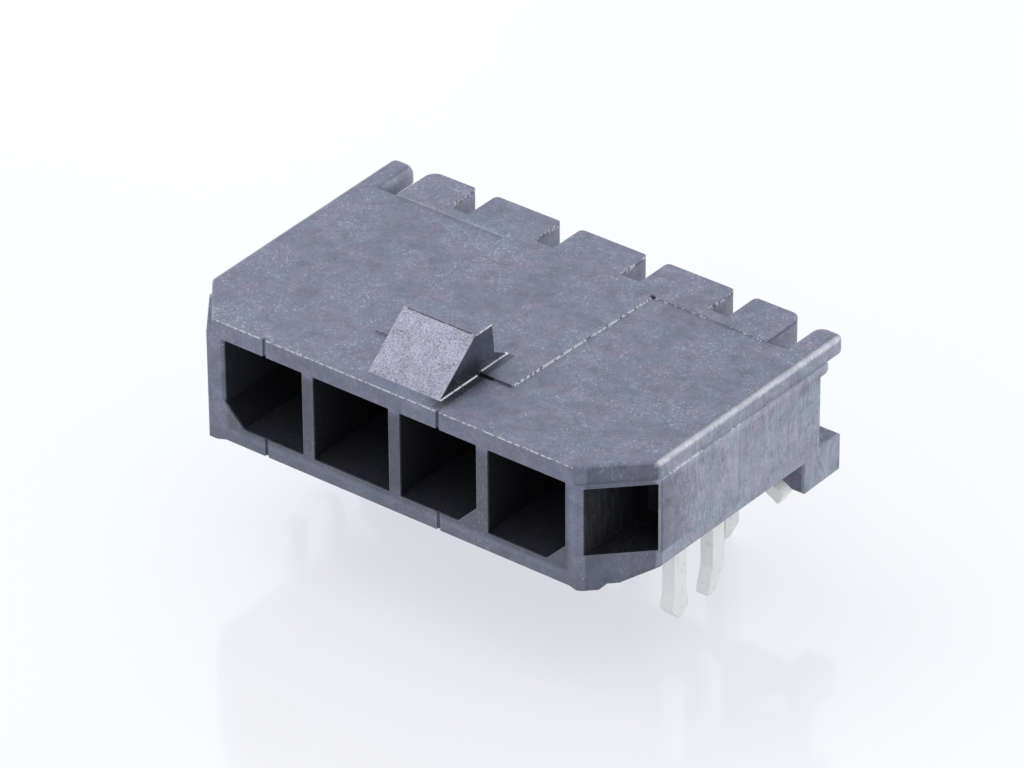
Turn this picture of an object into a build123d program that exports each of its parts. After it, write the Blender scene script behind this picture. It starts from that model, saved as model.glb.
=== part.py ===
from build123d import *
import os

# Right-angle board header: a moulded housing with one row of four cavities, four bent pins,
# and a stamped clip at each end that holds it to the board.
# Millimetres. The origin is the middle of the row of solder tails, on the board's surface.
# X runs along the row, Y from the mating face to the back, Z up from the board.

# Row and board
CIRCUITS = 4
PITCH = 3.00
TAIL_TO_FRONT = 8.92
TAIL_TO_BACK = 0.92
TOP_HEIGHT = 4.26
END_LENGTH = 3.375

# Housing shell
LID_THICKNESS = 0.53
LID_SETBACK = 0.04
SIDE_DRAFT = 0.14
CORNER_CUT = 1.565
LID_CORNER_CUT = 1.60
LEFT_CORNER_CUT = 1.18
LEFT_CORNER_DEPTH = 1.55
LEFT_LID_CORNER_CUT = 1.355
LEFT_LID_CORNER_DEPTH = 1.64
FRONT_HEIGHT = 3.77
SIDE_HEIGHT = 3.27
SIDE_DEPTH = 8.69
SIDE_EDGE_RADIUS = 0.13
CORNER_RADIUS = 0.06
EDGE_REACH = 0.01
END_BLOCK_LENGTH = 1.705
SKIRT_START = 0.465
SKIRT_RAMP = 0.12
SKIRT_STEP = 0.08
SKIRT_FLAT = 0.255
SKIRT_SLOPE_TOP = 0.10
SKIRT_SLOPE_LENGTH = 0.74
SKIRT_SLOPE_RISE = 0.395

# Mating cavities
WEB = 0.37
ROOF = 0.545
CAVITY_HEIGHT = 2.67
CAVITY_DEPTH = 6.60
END_RELIEF = 0.15
LEAD_IN = 0.10
KEY_CUT = 0.66
KNIT_LINE_WIDTH = 0.12
KNIT_LINE_DEPTH = 0.07

# Hollow ends
POCKET_STEP = 0.13
POCKET_OUTER_WALL = 0.15
POCKET_LEAN = 0.30
POCKET_ROOF = 0.12
POCKET_HEIGHT = 2.10
POCKET_DEPTH = 3.00

# Comb along the back
NOTCH_WIDTH = 0.68
NOTCH_FRONT = 8.55
TOOTH_THICKNESS = 1.15
TOOTH_RADIUS = 0.15
END_TOOTH_LENGTH = 1.59
END_TOOTH_RADIUS = 0.35
EAR_NOTCH_WIDTH = 0.44
LEFT_EAR_NOTCH_WIDTH = 0.62
EAR_NOTCH_FRONT = 8.20
EAR_REACH = 0.12
EAR_INNER_ROUNDING = 0.46
EAR_OUTER_ROUNDING = 0.40
EAR_STEP_DEPTH = 9.03
EAR_STEP_HEIGHT = 0.29
EAR_STEP_RADIUS = 0.14
RIB_DEPTH = 9.45
RIB_SLOPE = 0.60
CHANNEL_FRONT = 7.90

# Raised field of the lid, T-shaped in plan
FIELD_FRONT = 2.18
FIELD_STEP = 8.17
FIELD_HALF_FRONT = 2.35
FIELD_HALF_BACK = 2.58
FIELD_RISE_FRONT = 0.070
FIELD_RISE_BACK = 0.035

# Latch ramp
LATCH_WIDTH = 2.46
LATCH_FRONT = 0.44
LATCH_RUN = 1.60
LATCH_RISE = 1.31
LATCH_FLAT = 0.72
LATCH_LIP = 0.03
LATCH_BACK_LEAN = 0.08
LATCH_HEEL_HEIGHT = 0.38
LATCH_HEEL_LENGTH = 0.58
LATCH_HEEL_TOE = 0.10

# Supports on the board
FOOT_LENGTH = 0.90
FOOT_LAP = 0.66
FOOT_REACH = 0.98
FOOT_HEIGHT = 1.12
STANDOFF_LENGTH = 1.10
STANDOFF_INSET = 1.35
STANDOFF_FRONT = 1.40
STANDOFF_DEPTH = 1.20
CORNER_PAD_START = 0.22
CORNER_PAD_RAMP = 0.335
CORNER_PAD_END = 0.43
CORNER_PAD_DEPTH = 0.70
CORNER_PAD_HEIGHT = 0.10

# Terminals
PIN = 0.64
PIN_DROP = 1.905
PIN_FRONT = 2.60
PIN_BEND = 0.62
PIN_TIP = 0.60
PIN_TIP_ANGLE = 17
PIN_CLEARANCE = 0.01
TAIL_LENGTH = 3.18
TAIL_TIP = 0.45
TAIL_TIP_ANGLE = 19

# Board clips
CLIP_INSET = 1.20
CLIP_THICKNESS = 0.40
CLIP_CLEARANCE = 0.02
CLIP_FRONT = 3.28
CLIP_BACK = 8.40
CLIP_DROP = 1.70
CLIP_HEIGHT = 1.40
LEG_CENTRE = 4.58
LEG_PITCH = 1.735
LEG_WIDTH = 0.53
LEG_LENGTH = 2.13
LEG_HEAD = 0.82
LEG_BARB = 0.11
LEG_BARB_HEIGHT = 0.26
LEG_POINT = 0.14
LEG_SPLAY = 0.20
LEG_TOE = 0.34
TAB_CENTRE = 7.32
TAB_WIDTH = 0.40
TAB_DROP = 0.12
TAB_BEND = 0.35
TAB_ANGLE = 60
TAB_LENGTH = 1.03
TAB_RELIEF = 0.20

# Heights, lengths and places that follow from the sizes above
LID_BOTTOM = TOP_HEIGHT - LID_THICKNESS
FRONT_BOTTOM = TOP_HEIGHT - FRONT_HEIGHT
SIDE_BOTTOM = TOP_HEIGHT - SIDE_HEIGHT
TOOTH_BOTTOM = TOP_HEIGHT - TOOTH_THICKNESS
CAVITY_TOP = TOP_HEIGHT - ROOF
CAVITY_BOTTOM = CAVITY_TOP - CAVITY_HEIGHT
CAVITY_WIDTH = PITCH - WEB
PIN_HEIGHT = TOP_HEIGHT - PIN_DROP
ROW_HALF = (CIRCUITS - 1) * PITCH / 2
HALF_LENGTH = ROW_HALF + END_LENGTH
CORE_HALF = HALF_LENGTH - END_BLOCK_LENGTH
COMB_HALF = ROW_HALF + NOTCH_WIDTH / 2 + END_TOOTH_LENGTH
EAR_INNER = {-1: COMB_HALF + LEFT_EAR_NOTCH_WIDTH, 1: COMB_HALF + EAR_NOTCH_WIDTH}
POCKET_OUTER = HALF_LENGTH - POCKET_OUTER_WALL
CLIP_X = HALF_LENGTH - CLIP_INSET
CLIP_TOP = TOP_HEIGHT - CLIP_DROP
CLIP_BOTTOM = CLIP_TOP - CLIP_HEIGHT
BACK = TAIL_TO_BACK
FRONT = -TAIL_TO_FRONT
TOTAL_DEPTH = TAIL_TO_FRONT + TAIL_TO_BACK
CIRCUIT_X = [circuit * PITCH - ROW_HALF for circuit in range(CIRCUITS)]
SIDES = (-1, 1)

# Lower corner of each cavity that is keyed: -1 left, 1 right, 0 none
KEYS = [(-1, 0, 1, 1)[circuit % 4] for circuit in range(CIRCUITS)]


def behind(depth):
    """Y of a place that lies this far behind the mating face."""
    return FRONT + depth


def shell_plan(setback, depth):
    """Corners of the shell's plan: straight front, sides that widen a little to the back."""
    half_back = HALF_LENGTH - setback
    half_front = half_back - SIDE_DRAFT
    right_side = [(half_front, FRONT), (half_back, behind(depth))]
    return right_side + mirrored(right_side)[::-1]


def corner_plan(side, along, deep, setback):
    """Triangle that is cut from a front corner, with its reach along the front and behind it."""
    half_front = HALF_LENGTH - setback - SIDE_DRAFT
    right = [
        (half_front - 2 * along, behind(-deep)),
        (half_front + along, behind(-deep)),
        (half_front + along, behind(2 * deep)),
    ]
    return right if side > 0 else mirrored(right)


def pocket_plan(corner_cut):
    """Plan of the hollow behind the right front corner, for a corner cut of this length."""
    inner = HALF_LENGTH - SIDE_DRAFT - corner_cut + POCKET_STEP
    return [
        (inner, FRONT),
        (POCKET_OUTER, FRONT),
        (POCKET_OUTER, behind(corner_cut)),
        (POCKET_OUTER - POCKET_LEAN, behind(POCKET_DEPTH)),
        (inner, behind(POCKET_DEPTH)),
    ]


def tooth_plan(x0, x1, left_radius, right_radius):
    """Plan of one tooth of the comb from x0 to x1, rounded at its two far corners."""
    with BuildSketch() as tooth:
        with Locations(((x0 + x1) / 2, behind(NOTCH_FRONT))):
            Rectangle(x1 - x0, TOTAL_DEPTH - NOTCH_FRONT, align=(Align.CENTER, Align.MIN))
        fillet(tooth.vertices().group_by(Axis.Y)[-1].sort_by(Axis.X)[0], left_radius)
        fillet(tooth.vertices().group_by(Axis.Y)[-1].sort_by(Axis.X)[-1], right_radius)
    return tooth.sketch


def mirrored(points):
    """The same outline on the other side of the middle."""
    return [(-x, y) for x, y in points]


# Deck: the raised field and the comb of teeth behind it, one slab that sits in the lid
with BuildPart() as deck:
    with BuildSketch(Plane.XY.offset(TOOTH_BOTTOM)):
        Polygon(
            (-FIELD_HALF_FRONT, behind(FIELD_FRONT)),
            (FIELD_HALF_FRONT, behind(FIELD_FRONT)),
            (FIELD_HALF_BACK, behind(FIELD_STEP)),
            (COMB_HALF, behind(FIELD_STEP)),
            (COMB_HALF, behind(NOTCH_FRONT)),
            (-COMB_HALF, behind(NOTCH_FRONT)),
            (-COMB_HALF, behind(FIELD_STEP)),
            (-FIELD_HALF_BACK, behind(FIELD_STEP)),
            align=None,
        )
        for left, right in zip(CIRCUIT_X[:-1], CIRCUIT_X[1:]):
            half = NOTCH_WIDTH / 2
            add(tooth_plan(left + half, right - half, TOOTH_RADIUS, TOOTH_RADIUS))
        inner = COMB_HALF - END_TOOTH_LENGTH
        add(tooth_plan(-COMB_HALF, -inner, END_TOOTH_RADIUS, TOOTH_RADIUS))
        add(tooth_plan(inner, COMB_HALF, TOOTH_RADIUS, END_TOOTH_RADIUS))
    extrude(amount=TOOTH_THICKNESS + FIELD_RISE_FRONT)
    with BuildSketch(Plane.YZ):
        Polygon(
            (behind(FIELD_FRONT), TOOTH_BOTTOM),
            (behind(FIELD_FRONT), TOP_HEIGHT + FIELD_RISE_FRONT),
            (BACK, TOP_HEIGHT + FIELD_RISE_BACK),
            (BACK, TOOTH_BOTTOM),
            align=None,
        )
    extrude(amount=HALF_LENGTH, both=True, mode=Mode.INTERSECT)

# Lid: the plate above the parting line, with an ear behind each side
with BuildPart() as lid:
    with BuildSketch(Plane.XY.offset(LID_BOTTOM)):
        Polygon(*shell_plan(LID_SETBACK, TOTAL_DEPTH + EAR_REACH), align=None)
        right_corner = corner_plan(1, LID_CORNER_CUT, LID_CORNER_CUT, LID_SETBACK)
        left_corner = corner_plan(-1, LEFT_LID_CORNER_CUT, LEFT_LID_CORNER_DEPTH, LID_SETBACK)
        Polygon(*right_corner, align=None, mode=Mode.SUBTRACT)
        Polygon(*left_corner, align=None, mode=Mode.SUBTRACT)
        between_ears = sum(EAR_INNER.values())
        with Locations((EAR_INNER[1], behind(EAR_NOTCH_FRONT))):
            Rectangle(between_ears, TOTAL_DEPTH, align=(Align.MAX, Align.MIN), mode=Mode.SUBTRACT)
    extrude(amount=LID_THICKNESS)
    rim = lid.faces().sort_by(Axis.Z)[-1].edges()
    cut_edges = rim.filter_by_position(Axis.Y, FRONT + EDGE_REACH, behind(LID_CORNER_CUT) - EDGE_REACH)
    side_edges = rim.sort_by(lambda edge: -abs(edge.center().X))[:2]
    fillet(side_edges + cut_edges, SIDE_EDGE_RADIUS)
    for side in SIDES:
        ear_width = HALF_LENGTH - LID_SETBACK - EAR_INNER[side]
        for place, rounding in ((-2, EAR_INNER_ROUNDING), (-1, EAR_OUTER_ROUNDING)):
            uprights = lid.edges().filter_by(Axis.Z).group_by(Axis.Y)[-1]
            outward = uprights.sort_by(lambda edge: edge.center().X * side)
            fillet(outward[place], ear_width * rounding)

# Latch: a ramp with a fine lip at its crest, a steep back and a heel
with BuildPart() as latch:
    with BuildSketch(Plane.YZ):
        crest = LATCH_FRONT + LATCH_RUN
        back = crest + LATCH_FLAT
        flat_height = TOP_HEIGHT + LATCH_RISE - LATCH_LIP
        Polygon(
            (behind(LATCH_FRONT), LID_BOTTOM),
            (behind(LATCH_FRONT), TOP_HEIGHT),
            (behind(crest), TOP_HEIGHT + LATCH_RISE),
            (behind(crest + LATCH_LIP), flat_height),
            (behind(back), flat_height),
            (behind(back + LATCH_BACK_LEAN), TOP_HEIGHT + LATCH_HEEL_HEIGHT),
            (behind(back + LATCH_HEEL_LENGTH), TOP_HEIGHT + LATCH_HEEL_TOE),
            (behind(back + LATCH_HEEL_LENGTH), LID_BOTTOM),
            align=None,
        )
    extrude(amount=LATCH_WIDTH / 2, both=True)

with BuildPart() as housing:
    # Shell below the parting line
    with BuildSketch(Plane.XY.offset(FRONT_BOTTOM)):
        Polygon(*shell_plan(0, SIDE_DEPTH), align=None)
    extrude(amount=LID_BOTTOM - FRONT_BOTTOM)

    # Ribs between the tails, under the teeth
    with BuildSketch(Plane.YZ):
        Polygon(
            (behind(CAVITY_DEPTH), FRONT_BOTTOM),
            (behind(CAVITY_DEPTH), TOOTH_BOTTOM),
            (BACK, TOOTH_BOTTOM),
            (behind(RIB_DEPTH), TOOTH_BOTTOM - RIB_SLOPE),
            (behind(RIB_DEPTH), FRONT_BOTTOM),
            align=None,
        )
    extrude(amount=COMB_HALF, both=True)

    # Underside of the end blocks, stepped and then sloped up to the sides
    skirt = CORE_HALF + SKIRT_START
    skirt_outline = [
        (skirt, -TOP_HEIGHT),
        (skirt, FRONT_BOTTOM),
        (skirt + SKIRT_RAMP, FRONT_BOTTOM + SKIRT_STEP),
        (skirt + SKIRT_RAMP + SKIRT_FLAT, FRONT_BOTTOM + SKIRT_STEP),
        (HALF_LENGTH - SKIRT_SLOPE_TOP - SKIRT_SLOPE_LENGTH, SIDE_BOTTOM - SKIRT_SLOPE_RISE),
        (HALF_LENGTH - SKIRT_SLOPE_TOP, SIDE_BOTTOM),
        (HALF_LENGTH + END_LENGTH, SIDE_BOTTOM),
        (HALF_LENGTH + END_LENGTH, -TOP_HEIGHT),
    ]
    with BuildSketch(Plane.XZ.offset(-BACK)):
        Polygon(*skirt_outline, align=None)
        Polygon(*mirrored(skirt_outline), align=None)
    extrude(amount=TOTAL_DEPTH, mode=Mode.SUBTRACT)

    # Low pad under each front corner, ramped at both ends
    pad_bottom = FRONT_BOTTOM - CORNER_PAD_HEIGHT
    pad_outline = [
        (CORE_HALF - CORNER_PAD_START, FRONT_BOTTOM),
        (CORE_HALF - CORNER_PAD_START + CORNER_PAD_RAMP, pad_bottom),
        (CORE_HALF + CORNER_PAD_END, pad_bottom),
        (skirt + SKIRT_RAMP, FRONT_BOTTOM + SKIRT_STEP),
    ]
    with BuildSketch(Plane.XZ.offset(TAIL_TO_FRONT)):
        Polygon(*pad_outline, align=None)
        Polygon(*mirrored(pad_outline), align=None)
    extrude(amount=-CORNER_PAD_DEPTH)

    # Front corners cut across, below the lid, and softened where they meet the front
    with BuildSketch(Plane.XY.offset(LID_BOTTOM)):
        Polygon(*corner_plan(1, CORNER_CUT, CORNER_CUT, 0), align=None)
        Polygon(*corner_plan(-1, LEFT_CORNER_CUT, LEFT_CORNER_DEPTH, 0), align=None)
    extrude(amount=-TOP_HEIGHT, mode=Mode.SUBTRACT)
    uprights = housing.edges().filter_by(Axis.Z)
    corners = uprights.filter_by_position(Axis.Y, FRONT - EDGE_REACH, FRONT + EDGE_REACH)
    fillet(corners.sort_by(SortBy.LENGTH)[-2:], CORNER_RADIUS)

    # Gap between the comb and each ear, open to the back over the full height
    with BuildSketch(Plane.XY):
        for side in SIDES:
            inward = (Align.MAX if side > 0 else Align.MIN, Align.MIN)
            with Locations((side * EAR_INNER[side], behind(EAR_NOTCH_FRONT))):
                Rectangle(EAR_INNER[side] - COMB_HALF, TOTAL_DEPTH, align=inward)
    extrude(amount=TOP_HEIGHT, mode=Mode.SUBTRACT)

    # Step under each ear
    for side in SIDES:
        step_bottom = LID_BOTTOM - EAR_STEP_HEIGHT
        with BuildSketch(Plane.YZ.offset(side * EAR_INNER[side])) as step:
            with Locations((behind(SIDE_DEPTH), step_bottom)):
                Rectangle(EAR_STEP_DEPTH - SIDE_DEPTH, EAR_STEP_HEIGHT, align=Align.MIN)
            fillet(step.vertices().group_by(Axis.Y)[0].sort_by(Axis.X)[-1], EAR_STEP_RADIUS)
        extrude(amount=side * (HALF_LENGTH - EAR_INNER[side]))

    add(lid.part)
    add(deck.part)
    add(latch.part)

    # Rear feet and front standoffs, which stand on the board
    with BuildSketch(Plane.XY):
        foot_x = HALF_LENGTH - FOOT_LENGTH / 2
        with Locations(*[(side * foot_x, behind(SIDE_DEPTH - FOOT_LAP)) for side in SIDES]):
            Rectangle(FOOT_LENGTH, FOOT_LAP + FOOT_REACH, align=(Align.CENTER, Align.MIN))
    extrude(amount=FOOT_HEIGHT)
    standoff_x = CORE_HALF - STANDOFF_INSET + STANDOFF_LENGTH / 2
    with BuildSketch(Plane.XY):
        with Locations(*[(side * standoff_x, behind(STANDOFF_FRONT)) for side in SIDES]):
            Rectangle(STANDOFF_LENGTH, STANDOFF_DEPTH, align=(Align.CENTER, Align.MIN))
    extrude(amount=FRONT_BOTTOM)

    # Cavities, each with its key across one lower corner
    for x, key in zip(CIRCUIT_X, KEYS):
        left = x - CAVITY_WIDTH / 2 - (END_RELIEF if x == CIRCUIT_X[0] else 0)
        right = x + CAVITY_WIDTH / 2
        with BuildSketch(Plane.XZ.offset(TAIL_TO_FRONT)) as mouth:
            with Locations(((left + right) / 2, CAVITY_BOTTOM)):
                Rectangle(right - left, CAVITY_HEIGHT, align=(Align.CENTER, Align.MIN))
            if key:
                floor_corners = mouth.vertices().group_by(Axis.Y)[0].sort_by(Axis.X)
                chamfer(floor_corners[0 if key < 0 else -1], KEY_CUT)
        extrude(amount=-CAVITY_DEPTH, mode=Mode.SUBTRACT)

    # Fine knit lines in the front wall, in line with every second circuit
    with BuildSketch(Plane.XZ.offset(TAIL_TO_FRONT)):
        with Locations(*[(x, TOP_HEIGHT / 2) for x in CIRCUIT_X[::2]]):
            Rectangle(KNIT_LINE_WIDTH, TOP_HEIGHT)
    extrude(amount=-KNIT_LINE_DEPTH, mode=Mode.SUBTRACT)

    # Hollow ends, open through the cut corners, with an outer wall that thickens inwards
    with BuildSketch(Plane.XY.offset(LID_BOTTOM - POCKET_ROOF)):
        Polygon(*pocket_plan(CORNER_CUT), align=None)
        Polygon(*mirrored(pocket_plan(LEFT_CORNER_CUT)), align=None)
    extrude(amount=-POCKET_HEIGHT, mode=Mode.SUBTRACT)

    # Holes that the pins are pressed through, and channels for their bends and tails
    hole = PIN + 2 * PIN_CLEARANCE
    with BuildSketch(Plane.XZ.offset(-behind(CAVITY_DEPTH))):
        with Locations(*[(x, PIN_HEIGHT) for x in CIRCUIT_X]):
            Rectangle(hole, hole)
    extrude(amount=-(CHANNEL_FRONT - CAVITY_DEPTH), mode=Mode.SUBTRACT)
    for x in CIRCUIT_X:
        with BuildSketch(Plane.YZ.offset(x)):
            Polygon(
                (behind(NOTCH_FRONT), 2 * TOP_HEIGHT),
                (behind(NOTCH_FRONT), PIN_HEIGHT + PIN),
                (behind(CHANNEL_FRONT), PIN_HEIGHT + PIN),
                (behind(CHANNEL_FRONT), 0),
                (behind(2 * TOTAL_DEPTH), 0),
                (behind(2 * TOTAL_DEPTH), 2 * TOP_HEIGHT),
                align=None,
            )
        extrude(amount=NOTCH_WIDTH / 2, both=True, mode=Mode.SUBTRACT)

    # Slot for each clip, open below and behind, and the relief for its tab
    slot = CLIP_THICKNESS + 2 * CLIP_CLEARANCE
    for side in SIDES:
        with BuildSketch(Plane.XY):
            with Locations((side * CLIP_X, behind(CLIP_FRONT - CLIP_CLEARANCE))):
                Rectangle(slot, TOTAL_DEPTH, align=(Align.CENTER, Align.MIN))
        extrude(amount=CLIP_TOP + CLIP_CLEARANCE, mode=Mode.SUBTRACT)
        with BuildSketch(Plane.XY.offset(SIDE_BOTTOM)):
            with Locations((side * CLIP_X, behind(TAB_CENTRE))):
                outward = (Align.MIN if side > 0 else Align.MAX, Align.CENTER)
                Rectangle(CLIP_INSET, TAB_WIDTH + 2 * TAB_RELIEF, align=outward)
        extrude(amount=-SIDE_BOTTOM, mode=Mode.SUBTRACT)

    # Lead-in on the outer wall of the first cavity
    first_wall = CIRCUIT_X[0] - CAVITY_WIDTH / 2 - END_RELIEF
    uprights = housing.edges().filter_by(Axis.Z)
    front_edges = uprights.filter_by_position(Axis.Y, FRONT - EDGE_REACH, FRONT + EDGE_REACH)
    chamfer(front_edges.sort_by(lambda edge: abs(edge.center().X - first_wall))[0], LEAD_IN)

# Terminals: square wire, pointed at both ends and bent down behind the housing
terminals = []
for x in CIRCUIT_X:
    with BuildPart() as terminal:
        with BuildLine(Plane.YZ.offset(x)):
            Line((behind(PIN_FRONT + PIN_TIP), PIN_HEIGHT), (-PIN_BEND, PIN_HEIGHT))
            RadiusArc((-PIN_BEND, PIN_HEIGHT), (0, PIN_HEIGHT - PIN_BEND), PIN_BEND)
            Line((0, PIN_HEIGHT - PIN_BEND), (0, TAIL_TIP - TAIL_LENGTH))
        with BuildSketch(Plane(origin=(x, behind(PIN_FRONT + PIN_TIP), PIN_HEIGHT), z_dir=(0, 1, 0))):
            Rectangle(PIN, PIN)
        sweep()
        extrude(terminal.faces().sort_by(Axis.Y)[0], amount=PIN_TIP, taper=PIN_TIP_ANGLE)
        extrude(terminal.faces().sort_by(Axis.Z)[0], amount=TAIL_TIP, taper=TAIL_TIP_ANGLE)
    terminals.append(terminal)

# Board clips: a blade in the end slot, two legs that grip one hole, and a bent tab
leg_half = LEG_WIDTH / 2
leg_top = CLIP_BOTTOM + LEG_WIDTH
head_top = LEG_HEAD - LEG_LENGTH
barb = LEG_BARB_HEIGHT - LEG_LENGTH
front_leg = [
    (-leg_half, leg_top),
    (-leg_half, head_top),
    (-leg_half - LEG_BARB, barb + LEG_BARB),
    (-LEG_POINT / 2, -LEG_LENGTH),
    (LEG_POINT / 2, -LEG_LENGTH),
    (leg_half + LEG_BARB, barb),
    (leg_half, head_top),
    (leg_half, leg_top),
]
rear_leg = [
    (-leg_half, leg_top),
    (-leg_half, head_top),
    (-leg_half - LEG_SPLAY, -LEG_LENGTH),
    (LEG_TOE - leg_half - LEG_SPLAY, -LEG_LENGTH),
    (leg_half, head_top),
    (leg_half, leg_top),
]
with BuildPart() as board_clip_right:
    with BuildSketch(Plane.YZ.offset(CLIP_X)):
        with Locations((behind((CLIP_FRONT + CLIP_BACK) / 2), CLIP_TOP)):
            Rectangle(CLIP_BACK - CLIP_FRONT, CLIP_HEIGHT, align=(Align.CENTER, Align.MAX))
        with Locations((behind(LEG_CENTRE - LEG_PITCH / 2), 0)):
            Polygon(*front_leg, align=None)
        with Locations((behind(LEG_CENTRE + LEG_PITCH / 2), 0)):
            Polygon(*rear_leg, align=None)
    extrude(amount=CLIP_THICKNESS / 2, both=True)
    with BuildLine(Plane.XZ.offset(-behind(TAB_CENTRE))):
        drop = Line((CLIP_X, CLIP_BOTTOM), (CLIP_X, CLIP_BOTTOM - TAB_DROP))
        turn = JernArc(drop @ 1, drop % 1, TAB_BEND, TAB_ANGLE)
        PolarLine(turn @ 1, TAB_LENGTH, direction=turn % 1)
    with BuildSketch(Plane(origin=(CLIP_X, behind(TAB_CENTRE), CLIP_BOTTOM), z_dir=(0, 0, -1))):
        Rectangle(CLIP_THICKNESS, TAB_WIDTH)
    sweep()
with BuildPart() as board_clip_left:
    mirror(board_clip_right.part, about=Plane.YZ)

os.makedirs("parts", exist_ok=True)
pieces = {"housing": housing, "board_clip_left": board_clip_left, "board_clip_right": board_clip_right}
pieces.update({f"terminal_{number}": terminal for number, terminal in enumerate(terminals, 1)})
for name, piece in pieces.items():
    piece.part.label = name
    export_step(piece.part, f"parts/{name}.step")
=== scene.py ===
"""Looks of a right-angle board header: a moulded housing, bent pins and stamped board clips.

Everything is in metres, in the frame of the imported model: X along the row of circuits, Y from the
mating face to the back, Z up from the board.
"""

import logging
import math
from dataclasses import dataclass, field
from enum import Enum

import bpy
from mathutils import Matrix, Vector


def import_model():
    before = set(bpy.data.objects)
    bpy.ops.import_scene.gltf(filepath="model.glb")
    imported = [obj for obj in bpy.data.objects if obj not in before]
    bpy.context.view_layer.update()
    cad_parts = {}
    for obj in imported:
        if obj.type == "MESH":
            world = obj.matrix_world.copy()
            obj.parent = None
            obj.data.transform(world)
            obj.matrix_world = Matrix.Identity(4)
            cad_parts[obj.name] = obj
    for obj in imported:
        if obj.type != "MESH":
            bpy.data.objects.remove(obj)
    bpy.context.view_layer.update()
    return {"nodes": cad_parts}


log = logging.getLogger("header")

MM = 0.001

# Depth of the fine relief of a surface, in millimetres.
RELIEF_HEIGHT = 0.01

# Forms of the housing that the regions of its finish follow: places in millimetres, and slopes.
MATING_FACE = -8.92
SIDE_DRAFT = 0.0141
FIELD_FRONT = -6.74
FIELD_SLANT = 0.0384
CUT_CORNER_REACH = 15.09
TOOTH_RIGHT_EDGES = (-4.84, -1.84, 1.16, 4.16)

Colour = tuple[float, float, float]
Triple = tuple[float, float, float]
Limits = tuple[float, float]
Socket = bpy.types.NodeSocket


class Effect(Enum):
    """Shared effects, each one shader node group."""

    MOTTLE = "cloudy_mottle"
    FIBRES = "fibre_speckle"
    FLOW = "flow_marks"
    EDGES = "edge_sheen"
    BAND = "soft_band"


class Along(Enum):
    """Measures of a place on the object, in millimetres of the frame."""

    X = "x"
    Y = "y"
    Z = "z"
    FAR = "distance from the middle"
    OUT = "distance from the middle, less the draft of the sides"
    LEAN = "distance from the middle, less the slant of the raised field"
    DEEP = "depth behind the cut front corner"


def millimetres(*values: float) -> tuple[float, ...]:
    """Turns millimetres into metres."""
    return tuple(value * MM for value in values)


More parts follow.
